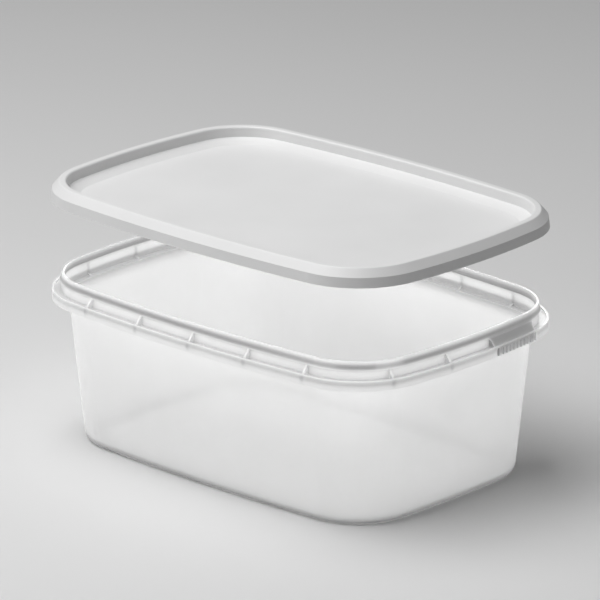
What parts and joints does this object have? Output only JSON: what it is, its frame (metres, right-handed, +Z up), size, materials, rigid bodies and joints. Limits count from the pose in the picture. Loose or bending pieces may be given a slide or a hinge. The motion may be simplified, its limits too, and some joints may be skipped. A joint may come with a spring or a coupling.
{
  "type": "rectangular food container",
  "caption": "Rectangular translucent plastic food tub with rounded corners, tapered walls, a ribbed tamper-evident rim with a tear tab, and a recessed white lid that lifts off.",
  "frame": {"origin": "middle of the base, on the surface that the tub stands on", "axes": "+Z up out of the open tub, +X along the long side towards the short side that holds the tear tab, -Y towards the long side that faces the user"},
  "size_m": [0.186, 0.13, 0.1057],
  "materials": {
    "tub_plastic": "translucent natural moulded polypropylene, satin gloss",
    "lid_plastic": "white moulded polypropylene, satin"
  },
  "bodies": {
    "tub": {"tub": "tub_plastic"},
    "lid": {"lid": "lid_plastic"}
  },
  "joints": [
    {"name": "lid_lift", "type": "slide", "parent": "tub", "child": "lid", "axis": [0, 0, 1], "range_m": [-0.036, 0]}
  ]
}
